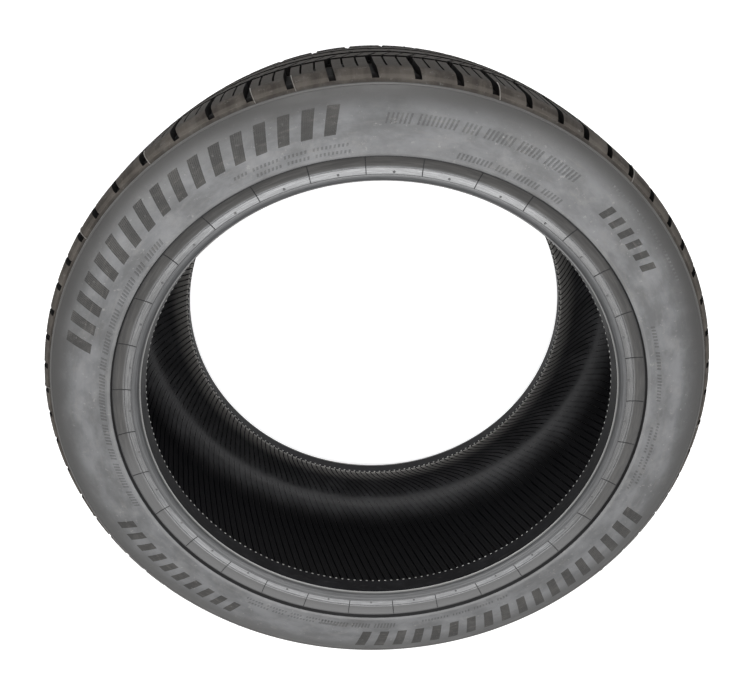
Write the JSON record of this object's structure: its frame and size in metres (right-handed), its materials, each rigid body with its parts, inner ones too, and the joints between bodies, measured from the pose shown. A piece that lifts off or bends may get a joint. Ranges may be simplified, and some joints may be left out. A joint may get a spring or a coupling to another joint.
{
  "type": "car tyre",
  "caption": "Low-profile road tyre off its rim: ribbed and grooved tread, raised shoulder lines, rim protectors, two bead seats and an open air chamber.",
  "frame": {"origin": "centre of the tyre, on the axle line, halfway between the two sidewalls", "axes": "+Z along the axle line towards the sidewall that faces up; +X and +Y in the plane of the wheel; the tyre lies on its lower sidewall"},
  "size_m": [0.7278, 0.7278, 0.286],
  "materials": {
    "tyre": "moulded rubber, matt tread, satin sidewalls"
  },
  "bodies": {
    "root": {"tyre": "tyre"}
  },
  "joints": []
}
